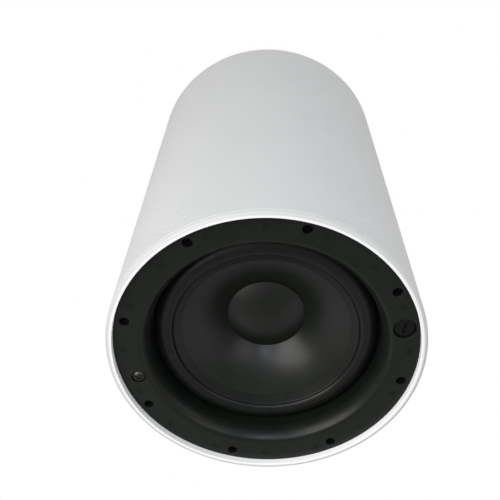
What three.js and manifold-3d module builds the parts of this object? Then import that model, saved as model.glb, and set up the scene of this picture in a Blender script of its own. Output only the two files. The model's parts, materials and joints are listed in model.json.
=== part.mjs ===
// Pendant subwoofer: a white perforated cylinder that hangs mouth-down, with a black
// recessed baffle and an 8-inch driver behind it.
// Millimetres. The origin is the centre of the mouth ring's lowest face, and +Z runs up
// the cylinder's axis to the hanging hardware.

import * as THREE from 'three';
import { mergeVertices } from 'three/addons/utils/BufferGeometryUtils.js';
import Module from 'manifold-3d';

const wasm = await Module();
wasm.setup();

// Driving dimensions

const GAP = 0.3;                 // clearance kept between neighbouring solids
const ROUND = 56;                // facets on the large visible rings
const HIDDEN_ROUND = 36;         // facets on the large inner rings

const OUTER_R = 132;             // sleeve and mouth ring
const HEIGHT = 417;              // mouth ring's face to the sleeve's top edge
const SLEEVE_WALL = 1.2;
const RING_INNER_R = 126.5;
const RING_LIP = 3.9;            // height of the ring's visible lip
const RING_FILLET = 3.7;
const RING_SKIRT_TOP = 16;

const FACE_Z = 5.2;              // baffle face, set back as the grille's seat
const BAFFLE_R = 126;
const BAFFLE_BACK_Z = 14.2;
const BOWL_LIP_R = 105.9;        // where the flat face turns into the bowl
const BOWL_LIP_FILLET = 5.5;     // tight arc at the lip, then a long one to the throat
const BOWL_FLANK_FILLET = 19.9;
const BOWL_LIP_TURN = THREE.MathUtils.degToRad(48);
const BOWL_TURN = THREE.MathUtils.degToRad(86);
const BOWL_THROAT_R = 96.7;
const DRIVER_SEAT_Z = 31;        // back of the baffle, where the driver is clamped

const WELL_R = 4.2;              // baffle screws
const WELL_FLOOR_Z = 12.2;
const WELL_CIRCLE_R = 118.2;
const WELL_DEG = [-75, -29.5, 15.5, 60.5, 104.5, 149, 193.5, 239.5];
const DIMPLE_COUNT = 16;         // grille magnet seats
const DIMPLE_R = 3.6;
const DIMPLE_DEPTH = 0.7;
const DIMPLE_CIRCLE_R = 116.8;

const SELECTOR_CIRCLE_R = 114.2;
const SELECTOR_DEG = -11.5;
const SELECTOR_R = 8.8;
const SELECTOR_RECESS_R = 9.5;
const SELECTOR_FLOOR_Z = 9;
const SELECTOR_FACE_Z = 6.9;
const SHAFT_R = 3;
const SWITCH_R = 8;
const SWITCH_TOP_Z = 31.5;

const TETHER_CIRCLE_R = 112;     // bright screw for the grille's safety tether
const TETHER_DEG = 164.4;
const TETHER_HEAD_R = 5.2;

const SHELL_R = 129.9;           // cabinet shell
const SHELL_WALL = 5;
const SHELL_BOTTOM_Z = 16.3;
const SHELL_FLANGE_TOP_Z = 24.3;
const SHELL_FLANGE_INNER_R = 108;
const SHELL_TOP_Z = 401;

const BASKET_R = 105.5;          // driver
const BASKET_Z = 33.1;
const CONE_RIM_R = 79;
const CONE_VISIBLE_R = 72;
const CAP_R = 34.1;
const FORMER_R = 25;
const FORMER_WALL = 0.6;
const PLATE_Z = 80;
const PLATE_T = 8;
const MAGNET_T = 20;
const DRIVER_SCREWS = 4;
const DRIVER_SCREW_CIRCLE_R = 102;
const FIRST_DRIVER_SCREW_DEG = 33.5;

const CAP_FLOOR_Z = 405.3;       // upper face of the top cap's plate
const CAP_UNDER_Z = 397.3;
const CAP_RIM_Z = 415.5;
const CAP_RIM_INNER_R = 123.9;
const HANG_PLATE = { length: 186, width: 56, corner: 16, thickness: 4 };
const EYE_SPACING = 65;          // load eyes, each side of the safety eye
const EYE_MAJOR_R = 14;
const EYE_WIRE_R = 4;
const EYE_LIFT = 18.5;           // eye's centre above the hang plate

const TRANSFORMER_Y = 62;
const BOARD = { x: 0, y: -66, z: 378, length: 100, width: 66, thickness: 1.6 };
const INLET_Y = -72;

// Materials

function finish(color, roughness, metalness = 0) {
  return new THREE.MeshStandardMaterial({ color, roughness, metalness });
}

const white_trim = finish(0xf2f2f0, 0.45);
const white_mesh = finish(0xd6d8d8, 0.55);
const white_shell = finish(0xe4e4e0, 0.6);
const black_plastic = finish(0x1c1c1d, 0.5);
const black_rubber = finish(0x1a1a1c, 0.6);
const black_cone = finish(0x17181a, 0.35);
const black_foam = finish(0x202020, 0.95);
const black_steel = finish(0x161616, 0.45, 0.6);
const bright_steel = finish(0xc4c6c8, 0.3, 1);
const zinc_steel = finish(0xb0b3b4, 0.4, 0.9);
const ferrite = finish(0x2b2b2d, 0.8);
const copper = finish(0xb4683a, 0.35, 0.9);
const spider_cloth = finish(0xc28a4a, 0.9);
const former_paper = finish(0x9a7a4c, 0.7);
const lamination = finish(0x55585b, 0.5, 0.8);
const coil_tape = finish(0xd0a83c, 0.5);
const board_green = finish(0x1d5a36, 0.5);
const capacitor_film = finish(0x27406e, 0.35);
const wadding = finish(0xe6e4dc, 0.95);
const lead_sheath = finish(0x2a2a2a, 0.5);
const connector_green = finish(0x2f7d46, 0.45);

// Geometry helpers

// Drops the attributes that keep equal vertices apart, removes empty triangles, and turns
// the faces outwards.
function closed(geometry) {
  const bare = geometry.clone();
  for (const name of Object.keys(bare.attributes)) {
    if (name !== 'position') bare.deleteAttribute(name);
  }
  const merged = mergeVertices(bare, 1e-4);
  const position = merged.attributes.position;
  const corner = [new THREE.Vector3(), new THREE.Vector3(), new THREE.Vector3()];
  const kept = [];
  let volume = 0;
  for (let i = 0; i < merged.index.count; i += 3) {
    const t = [0, 1, 2].map((k) => merged.index.getX(i + k));
    if (t[0] === t[1] || t[1] === t[2] || t[2] === t[0]) continue;
    t.forEach((vertex, k) => corner[k].fromBufferAttribute(position, vertex));
    volume += corner[0].dot(corner[1].clone().cross(corner[2]));
    kept.push(t);
  }
  const order = volume < 0 ? [0, 2, 1] : [0, 1, 2];
  merged.setIndex(kept.flatMap((t) => order.map((k) => t[k])));
  return merged;
}

function toSolid(geometry) {
  const merged = closed(geometry);
  return new wasm.Manifold(new wasm.Mesh({
    numProp: 3,
    vertProperties: new Float32Array(merged.attributes.position.array),
    triVerts: new Uint32Array(merged.index.array),
  }));
}

function toGeometry(solid) {
  const mesh = solid.getMesh();
  const geometry = new THREE.BufferGeometry();
  geometry.setAttribute('position', new THREE.BufferAttribute(mesh.vertProperties, 3));
  geometry.setIndex(new THREE.BufferAttribute(mesh.triVerts, 1));
  return geometry;
}

function cut(geometry, tools) {
  let solid = toSolid(geometry);
  for (const tool of tools) solid = solid.subtract(toSolid(tool));
  return toGeometry(solid);
}

function join(geometries) {
  let solid = toSolid(geometries[0]);
  for (const other of geometries.slice(1)) solid = solid.add(toSolid(other));
  return toGeometry(solid);
}

// A body turned about Z from an outline of [radius, height] points. An outline that
// doesn't start and end on the axis closes on itself.
function turned(outline, segments = HIDDEN_ROUND) {
  const points = outline.map(([r, z]) => new THREE.Vector2(r, z));
  const onAxis = points[0].x === 0 && points.at(-1).x === 0;
  if (!onAxis) points.push(points[0].clone());
  return closed(new THREE.LatheGeometry(points, segments).rotateX(Math.PI / 2));
}

function ring(inner, outer, low, high, segments = HIDDEN_ROUND) {
  return turned([[inner, low], [outer, low], [outer, high], [inner, high]], segments);
}

function rod(radius, low, high, at = [0, 0], segments = 12) {
  const cylinder = new THREE.CylinderGeometry(radius, radius, high - low, segments);
  return cylinder.rotateX(Math.PI / 2).translate(at[0], at[1], (low + high) / 2);
}

function block(size, centre) {
  return new THREE.BoxGeometry(...size).translate(...centre);
}

function slab(shape, low, high, curveSegments = 6) {
  const options = { depth: high - low, bevelEnabled: false, curveSegments };
  return new THREE.ExtrudeGeometry(shape, options).translate(0, 0, low);
}

function wedge(inner, outer, halfAngle, low, high) {
  const shape = new THREE.Shape();
  shape.absarc(0, 0, outer, -halfAngle, halfAngle, false);
  shape.absarc(0, 0, inner, halfAngle, -halfAngle, true);
  return slab(shape, low, high, 2);
}

function lead(points, radius, steps) {
  const section = new THREE.Shape();
  section.absarc(0, 0, radius, 0, 2 * Math.PI, false);
  const path = new THREE.CatmullRomCurve3(points.map((p) => new THREE.Vector3(...p)));
  const options = { steps, bevelEnabled: false, extrudePath: path, curveSegments: 4 };
  return closed(new THREE.ExtrudeGeometry(section, options));
}

function arc(centre, radius, from, to, steps) {
  return Array.from({ length: steps + 1 }, (_, i) => {
    const angle = from + ((to - from) * i) / steps;
    return [centre[0] + radius * Math.cos(angle), centre[1] + radius * Math.sin(angle)];
  });
}

function polar(radius, degrees) {
  const angle = THREE.MathUtils.degToRad(degrees);
  return [radius * Math.cos(angle), radius * Math.sin(angle)];
}

function around(count, radius, firstDegrees) {
  return Array.from({ length: count }, (_, i) => polar(radius, firstDegrees + (360 * i) / count));
}

const speaker = new THREE.Group();

function add(name, geometry, material, parent = speaker) {
  const mesh = new THREE.Mesh(geometry, material);
  mesh.name = name;
  parent.add(mesh);
  return mesh;
}

const wells = WELL_DEG.map((degrees) => polar(WELL_CIRCLE_R, degrees));
const dimples = around(DIMPLE_COUNT, DIMPLE_CIRCLE_R, 0);
const driverScrews = around(DRIVER_SCREWS, DRIVER_SCREW_CIRCLE_R, FIRST_DRIVER_SCREW_DEG);
const selectorAt = polar(SELECTOR_CIRCLE_R, SELECTOR_DEG);
const tetherAt = polar(TETHER_CIRCLE_R, TETHER_DEG);

// Outer skin: mouth ring and perforated sleeve

const sleeveInnerR = OUTER_R - SLEEVE_WALL;

function mouthRing() {
  const filletCentre = [OUTER_R - RING_FILLET, RING_FILLET];
  return turned([
    [RING_INNER_R, 0.7],
    [RING_INNER_R + 0.7, 0],
    ...arc(filletCentre, RING_FILLET, -Math.PI / 2, 0, 2),
    [OUTER_R, RING_LIP],
    [sleeveInnerR - GAP, RING_LIP],
    [sleeveInnerR - GAP, RING_SKIRT_TOP],
    [RING_INNER_R, RING_SKIRT_TOP],
  ], ROUND);
}

add('mouth_ring', mouthRing(), white_trim);
add('perforated_sleeve', ring(sleeveInnerR, OUTER_R, RING_LIP + GAP, HEIGHT, ROUND), white_mesh);

// Baffle with its bowl, screw wells, magnet seats, selector recess and screw bosses

const tetherPocketZ = FACE_Z + 1.4;

function baffleBody() {
  const up = -Math.PI / 2;
  const lipCentre = [BOWL_LIP_R, FACE_Z + BOWL_LIP_FILLET];
  const lip = arc(lipCentre, BOWL_LIP_FILLET, up, up - BOWL_LIP_TURN, 2);
  const beyond = BOWL_FLANK_FILLET - BOWL_LIP_FILLET;
  const flankCentre = [lipCentre[0] + beyond * Math.sin(BOWL_LIP_TURN),
    lipCentre[1] + beyond * Math.cos(BOWL_LIP_TURN)];
  const flank = arc(flankCentre, BOWL_FLANK_FILLET, up - BOWL_LIP_TURN, up - BOWL_TURN, 2);
  return turned([
    [BAFFLE_R, FACE_Z],
    ...lip,
    ...flank.slice(1),
    [BOWL_THROAT_R, DRIVER_SEAT_Z],
    [107, DRIVER_SEAT_Z],
    [107, 27],
    [100.6, 27],
    [104.5, BAFFLE_BACK_Z],
    [BAFFLE_R, BAFFLE_BACK_Z],
  ], ROUND);
}

function baffle() {
  const bosses = driverScrews.map((at) => rod(5.5, 18.5, DRIVER_SEAT_Z, at, 10));
  const cuts = [
    ...wells.flatMap((at) => [
      rod(WELL_R, FACE_Z - 1, WELL_FLOOR_Z, at, 12),
      rod(2.4, WELL_FLOOR_Z - 1, BAFFLE_BACK_Z + 1, at, 6),
    ]),
    ...dimples.map((at) => rod(DIMPLE_R, FACE_Z - 1, FACE_Z + DIMPLE_DEPTH, at, 6)),
    ...driverScrews.map((at) => rod(2.4, 19.5, DRIVER_SEAT_Z + 1, at, 6)),
    rod(SELECTOR_RECESS_R, FACE_Z - 1, SELECTOR_FLOOR_Z, selectorAt, 20),
    rod(SHAFT_R + 0.4, FACE_Z, BAFFLE_BACK_Z + 1, selectorAt, 12),
    rod(SWITCH_R + 0.6, BAFFLE_BACK_Z, DRIVER_SEAT_Z + 1, selectorAt, 16),
    rod(TETHER_HEAD_R + 1.1, FACE_Z - 1, tetherPocketZ, tetherAt, 16),
    rod(2.9, FACE_Z, BAFFLE_BACK_Z + 1, tetherAt, 8),
  ];
  return cut(join([baffleBody(), ...bosses]), cuts);
}

add('baffle', baffle(), black_plastic);
add('baffle_gasket', ring(122.7, 125.8, BAFFLE_BACK_Z + GAP, SHELL_BOTTOM_Z - GAP, 32), black_foam);

function baffleScrew() {
  const headLow = WELL_FLOOR_Z - 2.6;
  const headHigh = WELL_FLOOR_Z - GAP;
  const head = rod(3.5, headLow, headHigh, [0, 0], 12);
  const shank = rod(2, headHigh - 0.5, 21, [0, 0], 6);
  return cut(join([head, shank]), [rod(1.8, headLow - 1, headLow + 2, [0, 0], 6)]);
}

const baffleScrewGeometry = baffleScrew();
wells.forEach(([x, y], i) => {
  add(`baffle_screw_${i + 1}`, baffleScrewGeometry, black_steel).position.set(x, y, 0);
});

function tetherScrew() {
  const underHead = tetherPocketZ - GAP;
  const head = turned([[0, underHead], [TETHER_HEAD_R, underHead],
    [TETHER_HEAD_R, underHead - 1], [4, underHead - 2.3], [0, underHead - 2.7]], 16);
  const cross = [block([5.6, 1.3, 2], [0, 0, underHead - 2.6]),
    block([1.3, 5.6, 2], [0, 0, underHead - 2.6])];
  return cut(join([head, rod(2.5, underHead - 0.5, 20, [0, 0], 8)]), cross);
}

const tether = add('tether_screw', tetherScrew(), bright_steel);
tether.position.set(...tetherAt, 0);
tether.rotation.z = THREE.MathUtils.degToRad(20);

// Tap selector: a slotted disc on the rotary switch's shaft

const SLOT_TURN = THREE.MathUtils.degToRad(8.5);

function selectorKnob() {
  const discTop = SELECTOR_FLOOR_Z - GAP;
  const disc = turned([[0, SELECTOR_FACE_Z], [SELECTOR_R - 0.5, SELECTOR_FACE_Z],
    [SELECTOR_R, SELECTOR_FACE_Z + 0.5], [SELECTOR_R, discTop], [0, discTop]], 20);
  const shaft = rod(SHAFT_R, discTop - 0.5, BAFFLE_BACK_Z, [0, 0], 12);
  const slot = block([2.2, 10.6, 2], [0, 0, SELECTOR_FACE_Z + 0.4]).rotateZ(SLOT_TURN);
  const pointer = block([1, 2.4, 1], [0, 7.6, SELECTOR_FACE_Z + 0.1]).rotateZ(SLOT_TURN);
  return cut(join([disc, shaft]), [slot, pointer]);
}

add('tap_selector', selectorKnob(), black_plastic).position.set(...selectorAt, 0);
add('tap_switch_body', rod(SWITCH_R, BAFFLE_BACK_Z + GAP, SWITCH_TOP_Z, [0, 0], 16), black_plastic)
  .position.set(...selectorAt, 0);

// Cabinet shell, lining and top cap

const shellInnerR = SHELL_R - SHELL_WALL;

function cabinetShell() {
  const body = turned([
    [SHELL_FLANGE_INNER_R, SHELL_BOTTOM_Z],
    [SHELL_R, SHELL_BOTTOM_Z],
    [SHELL_R, SHELL_TOP_Z],
    [shellInnerR, SHELL_TOP_Z],
    [shellInnerR, SHELL_FLANGE_TOP_Z],
    [SHELL_FLANGE_INNER_R, SHELL_FLANGE_TOP_Z],
  ]);
  const low = SHELL_BOTTOM_Z - 1;
  const high = SHELL_FLANGE_TOP_Z + 1;
  return cut(body, [
    ...wells.map((at) => rod(2.4, low, high, at, 6)),
    rod(2.9, low, high, tetherAt, 8),
    rod(SWITCH_R + 0.6, low, high, selectorAt, 12),
  ]);
}

add('cabinet_shell', cabinetShell(), white_shell);
add('damping_liner', ring(114, 124.3, 125, 385, 32), wadding);

function topCap() {
  const body = turned([
    [0, CAP_UNDER_Z],
    [124.4, CAP_UNDER_Z],
    [124.4, SHELL_TOP_Z + GAP],
    [SHELL_R, SHELL_TOP_Z + GAP],
    [SHELL_R, CAP_RIM_Z],
    [CAP_RIM_INNER_R, CAP_RIM_Z],
    [CAP_RIM_INNER_R, CAP_FLOOR_Z],
    [0, CAP_FLOOR_Z],
  ]);
  const postBase = BOARD.z + BOARD.thickness + GAP;
  const posts = [];
  for (const sx of [-1, 1]) {
    for (const sy of [-1, 1]) {
      const at = [BOARD.x + sx * (BOARD.length / 2 - 6), BOARD.y + sy * (BOARD.width / 2 - 6)];
      posts.push(rod(4, postBase, CAP_UNDER_Z + 1, at, 8));
    }
  }
  return cut(join([body, ...posts]), [
    ...[-EYE_SPACING, 0, EYE_SPACING].map((x) => rod(4.5, 390, 410, [x, 0], 10)),
    block([46, 20, 20], [0, INLET_Y, 401]),
    rod(6.5, 390, 410, [43, INLET_Y], 12),
  ]);
}

add('top_cap', topCap(), white_shell);

// Hanging hardware: a steel plate across the cap, two load eyes and a safety eye

const hangPlateLow = CAP_FLOOR_Z + GAP;
const hangPlateTop = hangPlateLow + HANG_PLATE.thickness;

function hangPlate() {
  const { length, width, corner } = HANG_PLATE;
  const shape = new THREE.Shape();
  const x = length / 2 - corner;
  const y = width / 2 - corner;
  shape.absarc(x, y, corner, 0, Math.PI / 2, false);
  shape.absarc(-x, y, corner, Math.PI / 2, Math.PI, false);
  shape.absarc(-x, -y, corner, Math.PI, 1.5 * Math.PI, false);
  shape.absarc(x, -y, corner, 1.5 * Math.PI, 2 * Math.PI, false);
  const eyes = [-EYE_SPACING, 0, EYE_SPACING].map((at) => rod(4.5, 390, 420, [at, 0], 10));
  return cut(slab(shape, hangPlateLow, hangPlateTop, 2), eyes);
}

add('hang_plate', hangPlate(), zinc_steel);

const nutTop = CAP_UNDER_Z - GAP;
const nutLow = nutTop - 6.5;

function eyeBolt() {
  const collar = rod(9, hangPlateTop + GAP, hangPlateTop + 4, [0, 0], 16);
  const shank = rod(4, nutLow - 3, hangPlateTop + 2, [0, 0], 10);
  const eye = new THREE.TorusGeometry(EYE_MAJOR_R, EYE_WIRE_R, 6, 16).rotateX(Math.PI / 2);
  return join([eye.translate(0, 0, hangPlateTop + EYE_LIFT), collar, shank]);
}

function eyeNut() {
  return cut(rod(7.5, nutLow, nutTop, [0, 0], 6), [rod(4.4, nutLow - 1, nutTop + 1, [0, 0], 10)]);
}

const eyeBoltGeometry = eyeBolt();
const eyeNutGeometry = eyeNut();
[['load_eye_left', -EYE_SPACING], ['safety_eye', 0], ['load_eye_right', EYE_SPACING]]
  .forEach(([name, x]) => {
    add(`${name}_bolt`, eyeBoltGeometry, zinc_steel).position.x = x;
    add(`${name}_nut`, eyeNutGeometry, zinc_steel).position.x = x;
  });

// Signal inlet on the cap: plate, four-way header, cable gland and two screws

const inletLow = CAP_FLOOR_Z + GAP;
const inletTop = inletLow + 2;

function inletPlate() {
  const plate = block([128, 38, inletTop - inletLow], [4, INLET_Y, (inletLow + inletTop) / 2]);
  return cut(plate, [
    block([42, 16, 10], [0, INLET_Y, inletLow]),
    rod(6.5, inletLow - 1, inletTop + 1, [43, INLET_Y], 12),
    rod(1.9, inletLow - 1, inletTop + 1, [-52, INLET_Y], 8),
    rod(1.9, inletLow - 1, inletTop + 1, [60, INLET_Y], 8),
  ]);
}

function inletHeader() {
  const body = block([41, 15, 22], [0, INLET_Y, 402]);
  const ways = [-1.5, -0.5, 0.5, 1.5].map((i) => block([7.5, 9, 12], [i * 9.6, INLET_Y, 411]));
  return cut(body, ways);
}

function cableGland() {
  const nut = rod(9, inletTop + GAP, inletTop + 6, [0, 0], 6);
  const collar = rod(8, inletTop + 5, inletTop + 11, [0, 0], 14);
  const thread = rod(6, 391, inletTop + 2, [0, 0], 12);
  return cut(join([nut, collar, thread]), [rod(3.4, 380, 430, [0, 0], 10)]);
}

function inletScrew() {
  const underHead = inletTop + GAP;
  const head = rod(3.2, underHead, underHead + 2, [0, 0], 12);
  return cut(join([head, rod(1.5, CAP_FLOOR_Z + GAP, underHead + 0.5, [0, 0], 8)]),
    [block([4.4, 1, 1.6], [0, 0, underHead + 2])]);
}

add('inlet_plate', inletPlate(), black_steel);
add('inlet_header', inletHeader(), connector_green);
add('cable_gland', cableGland(), black_plastic).position.set(43, INLET_Y, 0);
const inletScrewGeometry = inletScrew();
[-52, 60].forEach((x, i) => {
  add(`inlet_screw_${i + 1}`, inletScrewGeometry, bright_steel).position.set(x, INLET_Y, 0);
});

// Driver: fixed parts

function driverGasket() {
  const holes = driverScrews.map((at) => rod(2.6, 30, 34, at, 6));
  return cut(ring(99.2, 105.2, DRIVER_SEAT_Z + GAP, BASKET_Z - GAP, 32), holes);
}

add('driver_gasket', driverGasket(), black_foam);

const shelfZ = 66.9;

function basket() {
  const body = turned([
    [93.5, BASKET_Z],
    [BASKET_R, BASKET_Z],
    [BASKET_R, BASKET_Z + 2.5],
    [97, BASKET_Z + 2.5],
    [69.5, shelfZ - 0.4],
    [69.5, PLATE_Z - GAP],
    [40, PLATE_Z - GAP],
    [40, PLATE_Z - GAP - 2.5],
    [67, PLATE_Z - GAP - 2.5],
    [67, shelfZ + 2.4],
    [59, shelfZ + 2.4],
    [59, shelfZ],
    [66.6, shelfZ],
    [93.5, BASKET_Z + 3.2],
  ]);
  const halfWindow = THREE.MathUtils.degToRad(19);
  const windows = around(6, 1, 3.5).map(([x, y]) => (
    wedge(60, 116, halfWindow, 40.5, 61).rotateZ(Math.atan2(y, x))));
  const holes = driverScrews.map((at) => rod(2.4, 30, 40, at, 6));
  return cut(body, [...windows, ...holes]);
}

add('basket', basket(), black_steel);

const magnetLow = PLATE_Z + PLATE_T + GAP;
const yokeLow = magnetLow + MAGNET_T + GAP;

add('front_plate', ring(28.4, 62, PLATE_Z, PLATE_Z + PLATE_T, 28), zinc_steel);
add('magnet', ring(34, 72, magnetLow, magnetLow + MAGNET_T, 28), ferrite);
add('yoke', turned([
  [9, PLATE_Z - 1],
  [FORMER_R - 0.6, PLATE_Z - 1],
  [FORMER_R - 0.6, yokeLow],
  [68, yokeLow],
  [68, yokeLow + 8],
  [9, yokeLow + 8],
], 28), zinc_steel);

function driverScrew() {
  const underHead = BASKET_Z + 2.5 + GAP;
  const head = rod(3.4, underHead, underHead + 3, [0, 0], 10);
  const shank = rod(2, 20, underHead + 0.5, [0, 0], 6);
  return cut(join([head, shank]), [rod(1.5, underHead + 1.4, underHead + 4, [0, 0], 6)]);
}

const driverScrewGeometry = driverScrew();
driverScrews.forEach(([x, y], i) => {
  add(`driver_screw_${i + 1}`, driverScrewGeometry, black_steel).position.set(x, y, 0);
});

// Driver: soft suspension

const surroundFlange = { inner: 96.2, outer: 98.7, low: 31.7, high: 32.8 };
const RUBBER = 1.3;
const rimZ = 27.2;               // valley between the roll and the cone flange
const ROLL = { from: 78.9, to: 95.8, height: 5.8, footZ: 31.2 };

// Height of the surround's mouth side at a radius: a half roll standing towards the mouth,
// on a base line that climbs from the valley to the flange.
function rollZ(r) {
  const t = (r - ROLL.from) / (ROLL.to - ROLL.from);
  const base = THREE.MathUtils.lerp(rimZ - 0.3, ROLL.footZ, t);
  return base - ROLL.height * Math.sqrt(Math.max(0, 1 - (2 * t - 1) ** 2));
}

function surround() {
  const rollMiddle = (ROLL.from + ROLL.to) / 2;
  const steps = 5;
  const roll = Array.from({ length: steps + 1 }, (_, i) => {
    const r = THREE.MathUtils.lerp(ROLL.from, ROLL.to, (1 - Math.cos((Math.PI * i) / steps)) / 2);
    return [r, rollZ(r)];
  });
  const face = [[CONE_VISIBLE_R, 29.3], ...roll, [surroundFlange.inner, surroundFlange.low],
    [surroundFlange.outer, surroundFlange.low]];
  const back = [[surroundFlange.outer, surroundFlange.high], [surroundFlange.inner, surroundFlange.high],
    ...roll.slice(1, -1).reverse().map(([r, z]) => [rollMiddle + (r - rollMiddle) * 0.84,
      z + RUBBER]),
    [ROLL.from, rimZ + 1.1], [CONE_VISIBLE_R, 30.4]];
  return turned([...face, ...back], 40);
}

add('surround', surround(), black_rubber);

function spider() {
  const inner = FORMER_R + FORMER_WALL + GAP;
  const folds = 6;
  const wave = Array.from({ length: folds + 1 }, (_, i) => {
    const r = THREE.MathUtils.lerp(29, 60, i / folds);
    return [r, 65.9 + (i % 2 === 0 ? 1.2 : -1.2)];
  });
  const face = [[inner, 65.7], ...wave.slice(1, -1), [61, 65.7], [66, 65.7]];
  const back = face.map(([r, z]) => [r, z + 0.8]).reverse();
  return turned([...face, ...back], 24);
}

add('spider', spider(), spider_cloth);

// Driver: moving parts

// Mouth side of the cone at a radius: shallow at the rim and steeper towards the coil.
function coneZ(r) {
  const width = CONE_VISIBLE_R - CAP_R;
  const t = (CONE_VISIBLE_R - r) / width;
  return 30.7 + width * (0.38 * t + 0.12 * t ** 2 + 0.17 * t ** 3);
}

const CONE_T = 1.4;
const neckR = FORMER_R + FORMER_WALL + GAP;

function cone() {
  const radii = [CONE_VISIBLE_R, 60, 47, CAP_R];
  const front = [[CONE_RIM_R, 28.6], ...radii.map((r) => [r, coneZ(r)]), [neckR, 63.2]];
  const back = front.map(([r, z]) => [r, z + CONE_T]).reverse();
  return turned([...front, ...back]);
}

add('cone', cone(), black_cone);

function dustCap() {
  const rise = 10;
  const sphereR = (CAP_R ** 2 + rise ** 2) / (2 * rise);
  const edge = Math.asin(CAP_R / sphereR);
  const rimHeight = coneZ(CAP_R) - GAP - 1.1;
  const centre = [0, rimHeight + sphereR * Math.cos(edge)];
  const dome = arc(centre, sphereR, -Math.PI / 2, -Math.PI / 2 + edge, 4);
  const inside = arc(centre, sphereR - 1.1, -Math.PI / 2 + edge * 0.985, -Math.PI / 2, 3);
  dome[0][0] = 0;
  inside.at(-1)[0] = 0;
  return turned([...dome, ...inside], 28);
}

add('dust_cap', dustCap(), black_cone);
add('coil_former', ring(FORMER_R, FORMER_R + FORMER_WALL, 59, 97, 20), former_paper);
add('voice_coil', ring(neckR, neckR + 1.5, 74, 94, 20), copper);

// Driver: terminal strip and the two flexible leads to the cone

const TERMINAL_DEG = -116.5;

function atTerminal(radius, side, z) {
  const angle = THREE.MathUtils.degToRad(TERMINAL_DEG);
  return [radius * Math.cos(angle) - side * Math.sin(angle),
    radius * Math.sin(angle) + side * Math.cos(angle), z];
}

const strip = add('driver_terminal', block([4, 26, 12], [73, 0, 73]), former_paper);
strip.rotation.z = THREE.MathUtils.degToRad(TERMINAL_DEG);
[-1, 1].forEach((side, i) => {
  const route = [atTerminal(74, side * 8, 65.5), atTerminal(76.4, side * 8, 61.5),
    atTerminal(75, side * 8, 57.5), atTerminal(64, side * 8, 55.5),
    atTerminal(52, side * 8, 53.5), atTerminal(46, side * 8, 50.5)];
  add(`tinsel_lead_${i + 1}`, lead(route, 0.9, 8), copper);
});

// Line transformer under the cap

const coreTop = CAP_UNDER_Z - GAP - 3.3;
const coreZ = coreTop - 32;

function transformerCore() {
  const stack = block([76, 34, 64], [0, TRANSFORMER_Y, coreZ]);
  const windows = [-19, 19].map((x) => block([14, 40, 38], [x, TRANSFORMER_Y, coreZ]));
  return cut(stack, windows);
}

function transformerWinding() {
  const outer = block([50, 58, 36.8], [0, TRANSFORMER_Y, coreZ]);
  const limbs = [block([24.6, 34.6, 50], [0, TRANSFORMER_Y, coreZ])];
  return cut(outer, limbs);
}

function transformerBracket() {
  const top = block([110, 30, 3], [0, TRANSFORMER_Y, coreTop + GAP + 1.5]);
  const sides = [-1, 1].map((s) => (
    block([2, 30, 50], [s * 39.6, TRANSFORMER_Y, coreTop + GAP + 2 - 25])));
  return join([top, ...sides]);
}

add('transformer_core', transformerCore(), lamination);
add('transformer_winding', transformerWinding(), coil_tape);
add('transformer_bracket', transformerBracket(), zinc_steel);

// Low-pass filter board

const boardZ = BOARD.z + BOARD.thickness / 2;
const underBoard = BOARD.z - GAP;
add('filter_board', block([BOARD.length, BOARD.width, BOARD.thickness],
  [BOARD.x, BOARD.y, boardZ]), board_green);
add('filter_inductor', ring(9, 20, underBoard - 22, underBoard, 20), copper)
  .position.set(BOARD.x - 24, BOARD.y, 0);

const capacitor = new THREE.CylinderGeometry(10, 10, 38, 16);
[-1, 1].forEach((side, i) => {
  add(`filter_capacitor_${i + 1}`, capacitor, capacitor_film)
    .position.set(BOARD.x + 12 + 11 * (side + 1), BOARD.y, underBoard - 10.2);
});

// Internal wiring

const LEAD_R = 1.9;
const boardTop = BOARD.z + BOARD.thickness + GAP;
const [switchX, switchY] = selectorAt;

add('inlet_lead', lead([
  [14, INLET_Y, 390], [14, INLET_Y + 0.5, 387], [20, INLET_Y + 8, 384.5],
  [30, INLET_Y + 12, 384], [33, INLET_Y + 14, boardTop + 1.2],
], LEAD_R, 12), lead_sheath);

add('switch_lead', lead([
  [27.5, 38, 354], [31, 36, 344], [42, 30, 324], [66, 18, 300], [92, 0, 260],
  [103, -14, 200], [105, -22, 130], [108, -23.5, 70], [switchX, switchY, 42],
  [switchX, switchY, SWITCH_TOP_Z + GAP],
], LEAD_R, 30), lead_sheath);

add('driver_lead', lead([
  [-44, -84, 375.5], [-44.5, -85, 366], [-47, -88, 330], [-47, -90, 270], [-46, -90, 190],
  [-43, -86, 120], [-37, -76, 92], atTerminal(77.4, 0, 74),
], LEAD_R, 26), lead_sheath);

export default speaker;
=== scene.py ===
"""Looks of a pendant subwoofer: a white perforated cylinder hanging mouth-down, with a
black recessed baffle and an 8-inch driver."""

import json
import math

import bmesh
import bpy
from mathutils import Matrix, Vector


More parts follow.
